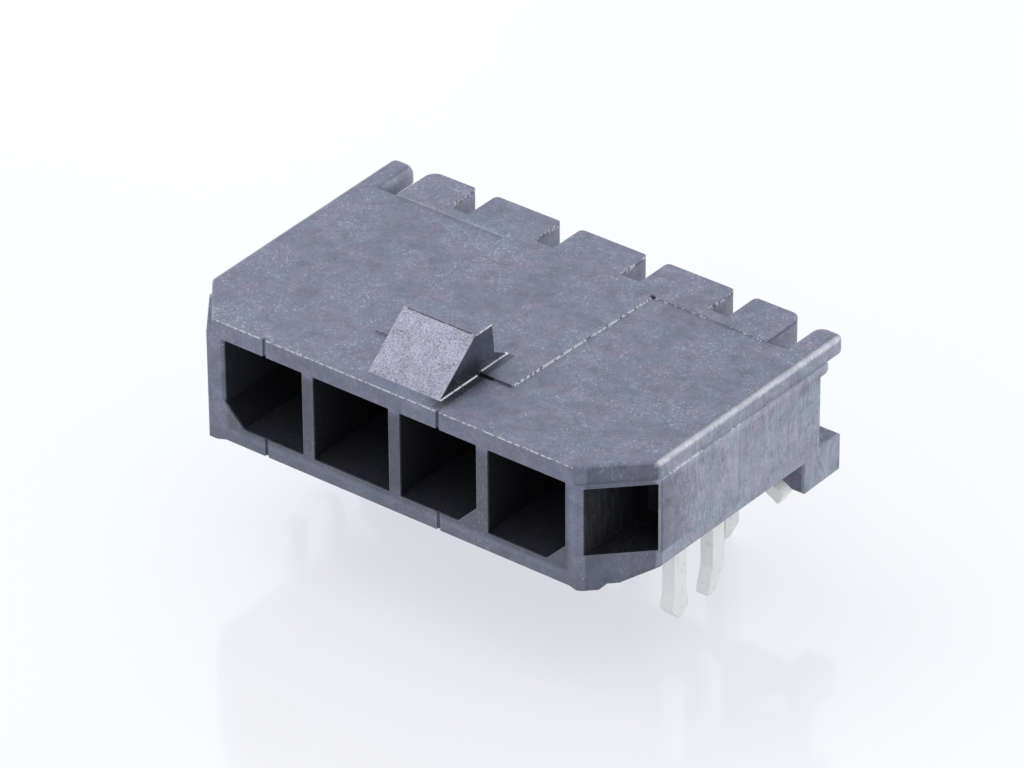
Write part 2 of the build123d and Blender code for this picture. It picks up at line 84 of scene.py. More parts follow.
class Graph:
    """A node tree with short calls for adding and joining nodes."""

    def __init__(self, tree: bpy.types.NodeTree) -> None:
        """Wraps a tree.

        Args:
            tree: the material's, world's or group's node tree.
        """
        self.tree = tree

    def put(self, value: object, socket: Socket) -> None:
        """Gives a socket its value.

        Args:
            value: a number, a colour or vector, or an output socket to link.
            socket: the input socket.
        """
        if isinstance(value, bpy.types.NodeSocket):
            self.tree.links.new(value, socket)
        elif isinstance(value, tuple) and len(value) == 3 and socket.type == "RGBA":
            socket.default_value = (*value, 1.0)
        else:
            socket.default_value = value

    def node(self, kind: str, inputs: dict | None = None, **settings: object) -> bpy.types.Node:
        """Adds a node.

        Args:
            kind: the node's type, without its ShaderNode prefix.
            inputs: values or links for its inputs, by name or number.
            settings: the node's own properties.

        Returns:
            The new node.
        """
        made = self.tree.nodes.new(f"ShaderNode{kind}")
        for name, value in settings.items():
            setattr(made, name, value)
        for key, value in (inputs or {}).items():
            self.put(value, made.inputs[key])
        return made

    def maths(self, operation: str, *values: object, clamp: bool = False) -> Socket:
        """Adds a Math node and returns its result.

        Args:
            operation: such as ADD or MULTIPLY.
            values: its operands, numbers or sockets.
            clamp: keeps the result between 0 and 1.

        Returns:
            The output socket.
        """
        inputs = dict(enumerate(values))
        return self.node("Math", inputs, operation=operation, use_clamp=clamp).outputs[0]

    def dot(self, first: object, second: object) -> Socket:
        """Dot product of two vectors.

        Args:
            first: a vector.
            second: the other one.

        Returns:
            The output socket.
        """
        product = self.node("VectorMath", {0: first, 1: second}, operation="DOT_PRODUCT")
        return product.outputs["Value"]

    def ramp(
        self, value: object, low: float, high: float, to_low: float = 0.0, to_high: float = 1.0
    ) -> Socket:
        """Maps a value smoothly from one range to another.

        Args:
            value: what is mapped.
            low: start of its range.
            high: end of its range.
            to_low: result at the start.
            to_high: result at the end.

        Returns:
            The output socket.
        """
        inputs = {
            "Value": value,
            "From Min": low,
            "From Max": high,
            "To Min": to_low,
            "To Max": to_high,
        }
        return self.node("MapRange", inputs, interpolation_type="SMOOTHSTEP").outputs["Result"]

    def blend(self, factor: object, first: object, second: object) -> Socket:
        """Mixes two colours.

        Args:
            factor: share of the second one.
            first: the colour below.
            second: the colour above.

        Returns:
            The mixed colour.
        """
        mix = self.node("Mix", data_type="RGBA", clamp_factor=True)
        self.put(factor, mix.inputs[0])
        self.put(first, mix.inputs[6])
        self.put(second, mix.inputs[7])
        return mix.outputs[2]

    def chain(self, operation: str, *values: object) -> Socket:
        """Joins values by one operation, one after the other.

        Args:
            operation: ADD, MULTIPLY or MAXIMUM.
            values: numbers or sockets; a single one comes back as it is.

        Returns:
            The output socket.
        """
        total = values[0]
        for value in values[1:]:
            total = self.maths(operation, total, value)
        return total

    def times(self, vector: object, factor: object) -> Socket:
        """Multiplies a vector or colour.

        Args:
            vector: the vector or colour.
            factor: what it is multiplied by.

        Returns:
            The output socket.
        """
        scaled = self.node("VectorMath", {0: vector, "Scale": factor}, operation="SCALE")
        return scaled.outputs[0]

    def noise(
        self,
        place: Socket,
        scale: object,
        detail: float,
        roughness: float = 0.5,
        warp: object = 0.0,
    ) -> Socket:
        """Adds a noise texture.

        Args:
            place: where it is read.
            scale: how many waves go into a metre.
            detail: how many finer layers it has.
            roughness: weight of the finer layers.
            warp: how much it is bent out of shape.

        Returns:
            Its value.
        """
        inputs = {
            "Vector": place,
            "Scale": scale,
            "Detail": detail,
            "Roughness": roughness,
            "Distortion": warp,
        }
        return self.node("TexNoise", inputs).outputs["Fac"]

    def bumped(self, height: Socket, normal: Socket, strength: float) -> Socket:
        """Adds fine relief to a normal.

        Args:
            height: the relief.
            normal: the normal below it.
            strength: how strongly it shows.

        Returns:
            The new normal.
        """
        inputs = {
            "Strength": strength,
            "Distance": RELIEF_HEIGHT * MM,
            "Height": height,
            "Normal": normal,
        }
        return self.node("Bump", inputs).outputs[0]

    def seen(self) -> Socket:
        """One for rays from the camera, from mirrors and through glass."""
        path = self.node("LightPath").outputs
        rays = ("Is Camera Ray", "Is Glossy Ray", "Is Transmission Ray")
        return self.chain("MAXIMUM", *(path[ray] for ray in rays))

    def place(self) -> Socket:
        """Position in the frame, in metres."""
        return self.node("TexCoord").outputs["Object"]

    def use(self, effect: Effect, **inputs: object) -> bpy.types.Node:
        """Places a shared effect.

        Args:
            effect: which effect.
            inputs: its inputs by name.

        Returns:
            The group node.
        """
        group = self.tree.nodes.new("ShaderNodeGroup")
        group.node_tree = bpy.data.node_groups[effect.value]
        for name, value in inputs.items():
            self.put(value, group.inputs[name])
        return group


class EffectGroup:
    """A node group under construction, with named inputs and outputs."""

    def __init__(self, effect: Effect, inputs: dict[str, object], outputs: dict[str, str]) -> None:
        """Makes the group and its sockets.

        Args:
            effect: the effect's name.
            inputs: starting values by input name, a number or a vector.
            outputs: socket kinds by output name, Float, Color or Vector.
        """
        self.tree = bpy.data.node_groups.new(effect.value, "ShaderNodeTree")
        for name, value in inputs.items():
            kind = "NodeSocketFloat" if isinstance(value, (int, float)) else "NodeSocketVector"
            made = self.tree.interface.new_socket(name, in_out="INPUT", socket_type=kind)
            made.default_value = value
        for name, kind in outputs.items():
            self.tree.interface.new_socket(name, in_out="OUTPUT", socket_type=f"NodeSocket{kind}")
        self.graph = Graph(self.tree)
        self.inputs = self.tree.nodes.new("NodeGroupInput").outputs
        self.outputs = self.tree.nodes.new("NodeGroupOutput").inputs


@dataclass(frozen=True)
class SharedEffects:
    """Effects that materials share, each built once.

    Args:
        fine_scale: how much finer the small areas of the mottle are than the large ones.
        fine_share: weight of the small areas.
        mottle_middle: value in the middle between light and dark.
        fibre_turns: directions of the fibres, in radians.
        fibre_shift: distance between the patterns of two directions, in metres.
        fibre_levels: values between which a fibre comes out.
        grain_scale: how much finer the grain is than a fibre is wide.
        flow_stretch: stretch of the flow marks along each axis.
        flow_lines: value and strength of each flow line, dark below zero.
        flow_levels: distance from a line's value at which it starts and at which it is full.
        edge_levels: match of the two normals at which an edge starts and at which it is full.
        edge_samples: samples of the rounded edges.
    """

    fine_scale: float = 4.3
    fine_share: float = 0.6
    mottle_middle: float = 0.8
    fibre_turns: tuple[Triple, ...] = (
        (0.0, 0.0, 0.3),
        (0.0, 0.0, 1.4),
        (0.0, 0.1, 2.5),
        (0.0, 0.8, 0.2),
        (0.0, 0.8, 1.7),
        (0.0, 1.5, 0.0),
    )
    fibre_shift: float = 0.013
    fibre_levels: Limits = (0.715, 0.81)
    grain_scale: float = 1.15
    flow_stretch: Triple = (1.0, 1.0, 0.20)
    flow_lines: tuple[Limits, ...] = (
        (0.38, -1.0),
        (0.41, 0.8),
        (0.47, -1.0),
        (0.50, 0.8),
        (0.56, -1.0),
        (0.59, 0.8),
    )
    flow_levels: Limits = (0.026, 0.002)
    edge_levels: Limits = (0.985, 0.80)
    edge_samples: int = 6

    def build(self) -> None:
        """Builds every shared node group once."""
        self.mottle()
        self.fibres()
        self.flow()
        self.edges()
        self.band()

    def mottle(self) -> None:
        """Cloudy light and dark areas in two sizes."""
        group = EffectGroup(
            Effect.MOTTLE,
            {"Place": (0.0, 0.0, 0.0), "Size": 2.0, "Warp": 1.0, "Contrast": 1.0},
            {"Value": "Float"},
        )
        graph = group.graph
        place, warp = group.inputs["Place"], group.inputs["Warp"]
        scale = graph.maths("DIVIDE", 1.0 / MM, group.inputs["Size"])
        finer = graph.maths("MULTIPLY", scale, self.fine_scale)
        coarse = graph.noise(place, scale, detail=4.0, roughness=0.6, warp=warp)
        fine = graph.noise(place, finer, detail=3.0, roughness=0.7, warp=warp)
        both = graph.maths("ADD", coarse, graph.maths("MULTIPLY", fine, self.fine_share))
        centred = graph.maths("SUBTRACT", both, self.mottle_middle)
        value = graph.maths("MULTIPLY", centred, group.inputs["Contrast"])
        graph.put(value, group.outputs["Value"])

    def fibres(self) -> None:
        """Short pale glass fibres that lie in every direction, and pin-head grain."""
        group = EffectGroup(
            Effect.FIBRES,
            {"Place": (0.0, 0.0, 0.0), "Size": 0.1, "Length": 3.5},
            {"Fibres": "Float", "Grain": "Float"},
        )
        graph = group.graph
        place = group.inputs["Place"]
        scale = graph.maths("DIVIDE", 1.0 / MM, group.inputs["Size"])
        stretch = graph.node("CombineXYZ", {0: group.inputs["Length"], 1: 1.0, 2: 1.0}).outputs[0]
        lines = []
        for number, turn in enumerate(self.fibre_turns):
            shift = (number * self.fibre_shift, 0.0, 0.0)
            inputs = {"Vector": place, "Location": shift, "Rotation": turn, "Scale": stretch}
            turned = graph.node("Mapping", inputs, vector_type="TEXTURE").outputs[0]
            lines.append(graph.ramp(graph.noise(turned, scale, detail=0.0), *self.fibre_levels))
        graph.put(graph.chain("MAXIMUM", *lines), group.outputs["Fibres"])
        finer = graph.maths("MULTIPLY", scale, self.grain_scale)
        grain = graph.noise(place, finer, detail=1.5, roughness=0.7)
        graph.put(graph.maths("SUBTRACT", grain, 0.5), group.outputs["Grain"])

    def flow(self) -> None:
        """Winding dark lines with a pale flank that the melt leaves, drawn out along the height."""
        group = EffectGroup(
            Effect.FLOW, {"Place": (0.0, 0.0, 0.0), "Size": 0.5}, {"Lines": "Float"}
        )
        graph = group.graph
        inputs = {"Vector": group.inputs["Place"], "Scale": self.flow_stretch}
        drawn = graph.node("Mapping", inputs, vector_type="POINT").outputs[0]
        scale = graph.maths("DIVIDE", 1.0 / MM, group.inputs["Size"])
        height = graph.noise(drawn, scale, detail=2.0, warp=0.7)
        lines = []
        for level, strength in self.flow_lines:
            away = graph.maths("ABSOLUTE", graph.maths("SUBTRACT", height, level))
            lines.append(graph.ramp(away, *self.flow_levels, 0.0, strength))
        graph.put(graph.chain("ADD", *lines), group.outputs["Lines"])

    def edges(self) -> None:
        """Rounded normals at sharp edges, and a mask of the edges themselves for painted
        highlights.
        """
        group = EffectGroup(
            Effect.EDGES, {"Radius": 0.04}, {"Normal": "Vector", "Edge": "Float"}
        )
        graph = group.graph
        radius = graph.maths("MULTIPLY", group.inputs["Radius"], MM)
        rounded = graph.node("Bevel", {"Radius": radius}, samples=self.edge_samples).outputs[0]
        flat = graph.node("NewGeometry").outputs["Normal"]
        match = graph.dot(rounded, flat)
        graph.put(rounded, group.outputs["Normal"])
        graph.put(graph.ramp(match, *self.edge_levels), group.outputs["Edge"])

    def band(self) -> None:
        """One inside a range of a measure, with soft ends."""
        group = EffectGroup(
            Effect.BAND, {"Value": 0.0, "From": 0.0, "To": 1.0, "Soft": 0.1}, {"Mask": "Float"}
        )
        graph = group.graph
        value, soft = group.inputs["Value"], group.inputs["Soft"]
        rise = graph.maths("DIVIDE", graph.maths("SUBTRACT", value, group.inputs["From"]), soft)
        fall = graph.maths("DIVIDE", graph.maths("SUBTRACT", group.inputs["To"], value), soft)
        mask = graph.maths("ADD", graph.maths("MINIMUM", rise, fall), 0.5, clamp=True)
        graph.put(mask, group.outputs["Mask"])


def new_material(name: str) -> tuple[bpy.types.Material, Graph, bpy.types.Node]:
    """Starts a material.

    Args:
        name: its name.

    Returns:
        The material, its graph and its Principled shader.
    """
    made = bpy.data.materials.new(name)
    made.use_nodes = True
    return made, Graph(made.node_tree), made.node_tree.nodes["Principled BSDF"]


@dataclass(frozen=True)
class Region:
    """Part of the object between limits along some of its measures.

    Args:
        spans: a measure and its low and high limit, for each measure that counts.
        soft: width of the change at the limits, in millimetres.
    """

    spans: tuple[tuple[Along, Limits], ...]
    soft: float


@dataclass(frozen=True)
class PaintedLine:
    """Fine line along an edge or step, painted pale or dark: mould flash, knit lines, painted
    highlights and painted shade lines.

    Args:
        region: where it runs.
        level: how strongly it shows, pale above zero and dark below.
        broken: how much of it is missing, from 0 to 1.
    """

    region: Region
    level: float
    broken: float = 0.0


@dataclass(frozen=True)
class Shade:
    """Part painted darker than the rest, mostly as painted shade.

    Args:
        region: where it lies.
        share: how much darker, below zero where it is painted paler as painted light.
    """

    region: Region
    share: float


class Chart:
    """Every measure of a place, as sockets of one material."""

    def __init__(self, graph: Graph) -> None:
        """Works out the measures.

        Args:
            graph: the material's graph.
        """
        self.graph = graph
        self.place = graph.place()
        scaled = graph.times(self.place, 1.0 / MM)
        across, back, high = graph.node("SeparateXYZ", {0: scaled}).outputs
        far = graph.maths("ABSOLUTE", across)
        behind_face = graph.maths("SUBTRACT", back, MATING_FACE)
        behind_field = graph.maths("SUBTRACT", back, FIELD_FRONT)
        draft = graph.maths("MULTIPLY", behind_face, SIDE_DRAFT)
        slant = graph.maths("MULTIPLY", behind_field, FIELD_SLANT)
        self.measures = {
            Along.X: across,
            Along.Y: back,
            Along.Z: high,
            Along.FAR: far,
            Along.OUT: graph.maths("SUBTRACT", far, draft),
            Along.LEAN: graph.maths("SUBTRACT", far, slant),
            Along.DEEP: graph.maths("ADD", graph.maths("SUBTRACT", back, far), CUT_CORNER_REACH),
        }

    def mask(self, region: Region) -> Socket:
        """Mask of a region.

        Args:
            region: where the mask is one.

        Returns:
            The mask.
        """
        masks = []
        for along, (low, high) in region.spans:
            measure = self.measures[along]
            band = self.graph.use(Effect.BAND, Value=measure, From=low, To=high, Soft=region.soft)
            masks.append(band.outputs["Mask"])
        return self.graph.chain("MULTIPLY", *masks)


def region(soft: float, **spans: Limits) -> Region:
    """Makes a region.

    Args:
        soft: width of the change at the limits, in millimetres.
        spans: low and high limit in millimetres, by the name of a measure.

    Returns:
        The region.
    """
    return Region(tuple((Along[name], limits) for name, limits in spans.items()), soft)


SIDES = region(0.02, OUT=(7.66, 9.0), Z=(-1.0, 4.20))
# Top edges of the side walls, painted pale as a painted highlight.
RIM_HIGHLIGHT = region(0.10, OUT=(7.615, 9.0), Z=(4.13, 5.0))
LATCH_RAMP = region(0.002, FAR=(-1.0, 1.229), Y=(-8.48, -6.89), Z=(4.272, 6.0))
LATCH_SIDE = region(0.02, X=(1.222, 1.5), Y=(-8.8, -5.5), Z=(4.22, 5.52))
# Hollows painted near black as painted shade.
CAVITIES = region(0.06, X=(-5.99, 5.84), Y=(-8.86, -2.20), Z=(1.02, 3.74))
POCKETS = region(0.06, FAR=(6.22, 7.76), Y=(-9.0, -5.80), Z=(1.42, 3.69), DEEP=(0.03, 9.0))
# Right-facing ends of the teeth, painted lighter as painted light.
TEETH = region(0.02, Y=(-0.50, 1.20), Z=(2.60, 4.195))
FRONT = region(0.03, Y=(-9.4, -8.87))
CUT_CORNER = region(0.05, X=(6.34, 9.0), DEEP=(-0.04, 0.12), Z=(-1.0, 4.22))

WEBS = region(0.25, X=(-5.9, 5.9), Y=(-9.4, -8.7), Z=(0.9, 3.6))
FRONT_FOOT = region(0.25, X=(-9.0, 9.0), Y=(-9.4, -8.7), Z=(-2.0, 0.8))
RIGHT_TOP = region(4.0, X=(2.5, 12.0), Z=(4.1, 4.6))
LATCH_CAST_SHADOW = region(0.55, X=(0.9, 1.62), Y=(-8.75, -6.60), Z=(3.7, 4.85))
UNDER_LID_PAINTED_LIGHT = region(0.06, OUT=(7.6, 9.0), Z=(3.55, 3.70))
SHADES = (
    # webs between the cavities, painted darker as painted shade
    Shade(WEBS, 0.50),
    Shade(FRONT_FOOT, 0.24),
    # cut front corner, painted darker as painted shade
    Shade(CUT_CORNER, 0.33),
    Shade(RIGHT_TOP, 0.08),
    # painted cast shadow of the latch on the top
    Shade(LATCH_CAST_SHADOW, 0.74),
    # right face of the latch, painted darker as painted shade
    Shade(LATCH_SIDE, 0.50),
    # band under the lid's edge, painted paler as painted light over the shade below its ledge
    Shade(UNDER_LID_PAINTED_LIGHT, -0.20),
)

# Mould flash and a painted highlight along the front top edge.
FRONT_LIP_FLASH_AND_HIGHLIGHT = PaintedLine(region(0.02, Y=(-9.0, -8.89), Z=(4.235, 4.4)), 0.55, 0.45)
PARTING_LINE_FLASH_AND_LIGHT = (
    # painted light over the shade under the lid's ledge
    PaintedLine(region(0.02, OUT=(7.6, 9.0), Y=(-8.0, 0.9), Z=(3.69, 3.742)), 0.13),
    # mould flash on the ledge, brightened as a painted highlight
    PaintedLine(region(0.02, OUT=(7.6, 9.0), Y=(-6.9, -5.6), Z=(3.70, 3.75)), 0.80, 0.2),
    PaintedLine(region(0.02, OUT=(7.6, 9.0), Y=(-5.6, -3.6), Z=(3.705, 3.74)), 0.70, 0.6),
)
LATCH_HIGHLIGHTS_AND_SHADE = (
    # painted highlights along the foot and the top edge of the latch
    PaintedLine(region(0.01, X=(1.15, 1.262), Y=(-8.44, -6.84), Z=(4.2, 4.295)), 0.95, 0.05),
    PaintedLine(region(0.01, X=(1.15, 1.275), Y=(-6.66, -5.50), Z=(4.2, 4.340)), 0.90, 0.1),
    PaintedLine(region(0.01, X=(1.20, 1.4), Y=(-6.83, -6.12), Z=(5.51, 6.0)), 0.85, 0.2),
    # painted shade where the raised field meets the foot of the latch
    PaintedLine(region(0.02, X=(1.24, 1.72), Y=(-6.81, -6.73), Z=(4.2, 4.5)), -0.95),
    PaintedLine(region(0.02, X=(1.60, 2.33), Y=(-6.78, -6.735), Z=(4.2, 4.5)), -0.60, 0.2),
    # painted shade line behind the crest of the latch
    PaintedLine(region(0.015, FAR=(-1.0, 1.10), Y=(-6.905, -6.85), Z=(5.5, 6.0)), -0.9, 0.1),
)
# Painted highlight along the right edge of the raised field.
FIELD_SIDE_HIGHLIGHT = PaintedLine(
    region(0.012, X=(1.0, 4.0), LEAN=(2.346, 2.372), Y=(-6.74, -0.78), Z=(4.2, 5.0)), 0.95, 0.35
)
# Painted highlights along the top edges of the tooth ends.
TOOTH_EDGE_HIGHLIGHTS = tuple(
    PaintedLine(region(0.012, X=(edge - 0.020, edge + 0.03), Y=(-0.33, 0.85), Z=(4.19, 4.6)), 0.60, 0.60)
    for edge in TOOTH_RIGHT_EDGES
)
FIELD_BACK = (
    # painted highlight along the rear edge of the raised field
    PaintedLine(region(0.012, X=(2.7, 6.3), Y=(-0.775, -0.745), Z=(4.2, 5.0)), 0.6, 0.75),
    # painted light over the shade of the field's rear step
    PaintedLine(region(0.04, X=(-6.5, -2.6), Y=(-0.78, -0.66), Z=(4.1, 5.0)), 0.09),
    PaintedLine(region(0.03, X=(2.50, 2.66), Y=(-0.83, -0.70), Z=(4.2, 5.0)), -0.9),
)
# Knit lines, painted darker as the shade in their grooves.
KNIT_LINES = (
    PaintedLine(region(0.01, X=(-4.57, -4.43), Y=(-8.885, -8.80), Z=(0.0, 4.3)), -0.35),
    PaintedLine(region(0.01, X=(1.43, 1.57), Y=(-8.885, -8.80), Z=(0.0, 4.3)), -0.35),
)
PAINTED_LINES = (FRONT_LIP_FLASH_AND_HIGHLIGHT, *PARTING_LINE_FLASH_AND_LIGHT, *LATCH_HIGHLIGHTS_AND_SHADE, FIELD_SIDE_HIGHLIGHT, *TOOTH_EDGE_HIGHLIGHTS, *FIELD_BACK, *KNIT_LINES)


@dataclass(frozen=True)
class Mottle:
    """Cloudy light and dark areas of a finish.

    Args:
        size: of the large areas, in millimetres.
        warp: how much they are bent out of shape.
        contrast: how far light and dark lie apart.
    """

    size: float
    warp: float
    contrast: float = 1.0

    def value(self, graph: Graph, place: Socket) -> Socket:
        """Places the effect.

        Args:
            graph: the material's graph.
            place: position in the frame.

        Returns:
            Its value, around zero.
        """
        inputs = {"Size": self.size, "Warp": self.warp, "Contrast": self.contrast}
        return graph.use(Effect.MOTTLE, Place=place, **inputs).outputs["Value"]


@dataclass(frozen=True)
class MouldedFinish:
    """Black glass-filled moulding: satin, mottled blue grey, with fibres in the skin.

    Args:
        name: the material's name.
        cool: top of the moulding, where it is bluest.
        warm: top of the moulding, where it is least blue.
        cool_lit_side: side walls, painted lighter as painted light from the white table, where they
            are bluest.
        warm_lit_side: side walls, painted lighter as painted light from the white table, where they
            are least blue.
        lit_tooth_side: ends of the teeth at the back, painted lighter as painted light.
        ramp: grained slope of the latch, painted lighter as a painted sheen.
        rim_highlight: edge of the lid along the sides, painted pale as a painted highlight.
        flash_and_highlight: pale lines, mould flash and painted highlights along edges and steps.
        pale: fibres, and painted highlights along the edges.
        painted_shade: near black, painted into the cavities, the pockets and the dark lines as
            painted shade.
        fibre_and_glint: fibres, and painted highlights in the pockets.
        roughness: of the skin.
        mottle: large light and dark areas.
        blotch: small ones.
        tint: areas between cool and warm.
        fibre_size: width of a fibre in millimetres.
        fibre_length: its length, as a multiple of the width.
        flow_size: distance between flow marks in millimetres.
        line_piece: length of the pieces of a broken line in millimetres.
        edge_radius: of the rounded edges in millimetres.
        lit_tooth_share: how strongly lit_tooth_side shows.
        rim_highlight_share: how strongly the rim's painted highlight shows.
        edge_highlight_share: how strongly the painted highlights along the edges show.
        mottle_depth: how far the mottle lightens and darkens.
        blotch_depth: how far the blotches do.
        grain_depth: how far the grain does.
        ramp_grain_depth: how much further it does on the slope of the latch.
        flow_depth: how far the flow marks on the side walls do.
        crowd_levels: mottle between which the fibres grow denser.
        crowd: share of the fibres that shows where they are sparse and dense.
        calm: share of the fibres that is left on the calm faces.
        line_gap: value of the noise above which a whole line shows.
        line_loss: how much that value rises for a broken one.
        line_soft: softness of the gaps.
        pocket_glints: how strongly painted highlights, drawn from the flow marks, show in the
            pockets.
        hollow_fibres: how strongly fibres show in the cavities and pockets.
        mottle_roughness: how much rougher the light areas are.
        ramp_roughness: how much rougher the slope of the latch is.
        hollow_roughness: how much rougher the inside is.
        relief: strength of the grain's relief.
    """

    name: str = "glass_filled_moulding"
    cool: Colour = (0.158, 0.188, 0.265)
    warm: Colour = (0.192, 0.184, 0.267)
    cool_lit_side: Colour = (0.312, 0.366, 0.457)
    warm_lit_side: Colour = (0.361, 0.347, 0.457)
    lit_tooth_side: Colour = (0.330, 0.340, 0.430)
    ramp: Colour = (0.402, 0.398, 0.512)
    rim_highlight: Colour = (0.820, 0.830, 0.900)
    flash_and_highlight: Colour = (0.950, 0.955, 1.000)
    pale: Colour = (0.560, 0.590, 0.700)
    painted_shade: Colour = (0.0015, 0.0016, 0.005)
    fibre_and_glint: Colour = (0.040, 0.046, 0.070)
    roughness: float = 0.46
    mottle: Mottle = Mottle(1.6, 1.2)
    blotch: Mottle = Mottle(0.42, 0.3)
    tint: Mottle = Mottle(0.8, 0.4, 3.4)
    fibre_size: float = 0.052
    fibre_length: float = 2.6
    flow_size: float = 0.62
    line_piece: float = 1.0 / 8.2
    edge_radius: float = 0.035
    lit_tooth_share: float = 0.85
    rim_highlight_share: float = 0.9
    edge_highlight_share: float = 0.35
    mottle_depth: float = 0.5
    blotch_depth: float = 0.8
    grain_depth: float = 0.45
    ramp_grain_depth: float = 1.9
    flow_depth: float = 0.16
    crowd_levels: Limits = (-0.16, 0.24)
    crowd: Limits = (0.06, 0.62)
    calm: float = 0.35
    line_gap: float = 0.30
    line_loss: float = 0.4
    line_soft: float = 0.05
    pocket_glints: float = 0.5
    hollow_fibres: float = 0.25
    mottle_roughness: float = -0.2
    ramp_roughness: float = 0.14
    hollow_roughness: float = 0.25
    relief: float = 0.3

    def material(self) -> bpy.types.Material:
        """Builds the material.

        Returns:
            The moulding's material.
        """
        made, graph, shader = new_material(self.name)
        skin = MouldedSkin(self, graph)
        graph.put(skin.colour(), shader.inputs["Base Color"])
        graph.put(skin.roughness(), shader.inputs["Roughness"])
        graph.put(skin.normal(), shader.inputs["Normal"])
        return made


class MouldedSkin:
    """Colour, roughness and relief of the moulding over its surface."""

    def __init__(self, finish: MouldedFinish, graph: Graph) -> None:
        """Places the shared effects and the masks that several steps use.

        Args:
            finish: colours and sizes of the finish.
            graph: the material's graph.
        """
        self.finish = finish
        self.graph = graph
        self.chart = Chart(graph)
        place = self.chart.place
        self.mottle = finish.mottle.value(graph, place)
        self.blotch = finish.blotch.value(graph, place)
        self.tint = finish.tint.value(graph, place)
        fibre = {"Size": finish.fibre_size, "Length": finish.fibre_length}
        fibres = graph.use(Effect.FIBRES, Place=place, **fibre).outputs
        self.fibres, self.grain = fibres["Fibres"], fibres["Grain"]
        edges = graph.use(Effect.EDGES, Radius=finish.edge_radius).outputs
        self.rounded, self.edge = edges["Normal"], edges["Edge"]
        flow = graph.use(Effect.FLOW, Place=place, Size=finish.flow_size)
        self.flow = flow.outputs["Lines"]
        self.sides = self.chart.mask(SIDES)
        self.ramp = self.chart.mask(LATCH_RAMP)
        self.pockets = self.chart.mask(POCKETS)
        self.hollow = graph.maths("MAXIMUM", self.chart.mask(CAVITIES), self.pockets)

    def colour(self) -> Socket:
        """Builds the colour of the whole surface.

        Returns:
            The colour.
        """
        skin = self.graph.times(self.plain(), self.tone())
        skin = self.lined(self.speckled(skin))
        # cavities and pockets painted near black, as painted shade
        return self.graph.blend(self.hollow, skin, self.inside())

    def plain(self) -> Socket:
        """Colours each face, before the marks on it, with painted light on the side walls, the
        tooth ends, the slope of the latch and the rim.

        Returns:
            The colour.
        """
        graph, finish = self.graph, self.finish
        hue = graph.maths("ADD", 0.5, self.tint, clamp=True)
        # side walls painted lighter, as painted light from the white table
        side = graph.blend(hue, finish.cool_lit_side, finish.warm_lit_side)
        skin = graph.blend(self.sides, graph.blend(hue, finish.cool, finish.warm), side)
        off_sides = graph.maths("SUBTRACT", 1.0, self.sides)
        # ends of the teeth painted lighter, as painted light
        teeth = graph.chain("MULTIPLY", self.chart.mask(TEETH), off_sides, finish.lit_tooth_share)
        skin = graph.blend(teeth, skin, finish.lit_tooth_side)
        # slope of the latch painted lighter, as a painted sheen
        skin = graph.blend(self.ramp, skin, finish.ramp)
        # painted highlight along the rounded top edges of the sides
        rim_highlight = graph.maths("MULTIPLY", self.chart.mask(RIM_HIGHLIGHT), finish.rim_highlight_share)
        return graph.blend(rim_highlight, skin, finish.rim_highlight)

    def tone(self) -> Socket:
        """Works out how light or dark mottle, grain, flow marks and painted shades make a place.

        Returns:
            What the colour is multiplied by.
        """
        graph, finish = self.graph, self.finish
        more_grain = graph.maths("MULTIPLY", self.ramp, finish.ramp_grain_depth)
        grain_depth = graph.maths("ADD", finish.grain_depth, more_grain)
        tone = graph.chain(
            "ADD",
            1.0,
            graph.maths("MULTIPLY", self.mottle, finish.mottle_depth),
            graph.maths("MULTIPLY", self.blotch, finish.blotch_depth),
            graph.maths("MULTIPLY", self.grain, grain_depth),
            graph.chain("MULTIPLY", self.flow, self.sides, finish.flow_depth),
        )
        off_ramp = graph.maths("SUBTRACT", 1.0, self.ramp)
        for shade in SHADES:
            shaded = graph.maths("MULTIPLY", self.chart.mask(shade.region), off_ramp)
            left = graph.ramp(shaded, 0.0, 1.0, 1.0, 1.0 - shade.share)
            tone = graph.maths("MULTIPLY", tone, left)
        return tone

    def speckled(self, skin: Socket) -> Socket:
        """Adds the fibres, which crowd in some areas, and painted highlights along the edges.

        Args:
            skin: the colour so far.

        Returns:
            The colour with both.
        """
        graph, finish = self.graph, self.finish
        crowd = graph.ramp(self.mottle, *finish.crowd_levels, *finish.crowd)
        calm_parts = (FRONT, LATCH_SIDE, CUT_CORNER)
        calm = graph.chain("MAXIMUM", *(self.chart.mask(part) for part in calm_parts))
        left = graph.ramp(calm, 0.0, 1.0, 1.0, finish.calm)
        fibres = graph.maths("MULTIPLY", self.fibres, graph.maths("MULTIPLY", crowd, left))
        # painted highlights along the sharp edges
        edge = graph.maths("MULTIPLY", self.edge, finish.edge_highlight_share)
        return graph.blend(edge, graph.blend(fibres, skin, finish.pale), finish.pale)

    def lined(self, skin: Socket) -> Socket:
        """Adds the fine lines: mould flash, knit lines, painted highlights and painted shade lines.

        Args:
            skin: the colour so far.

        Returns:
            The colour with the lines.
        """
        graph, finish = self.graph, self.finish
        noise = graph.noise(self.chart.place, 1.0 / (finish.line_piece * MM), detail=1.0)
        for painted_line in PAINTED_LINES:
            limit = finish.line_gap + finish.line_loss * painted_line.broken
            whole = graph.ramp(noise, limit - finish.line_soft, limit + finish.line_soft)
            mask = self.chart.mask(painted_line.region)
            share = graph.chain("MULTIPLY", mask, whole, abs(painted_line.level))
            skin = graph.blend(share, skin, finish.flash_and_highlight if painted_line.level > 0.0 else finish.painted_shade)
        return skin

    def inside(self) -> Socket:
        """Paints the walls of the cavities and pockets near black as painted shade, with fibres and
        faint painted highlights.

        Returns:
            The colour.
        """
        graph, finish = self.graph, self.finish
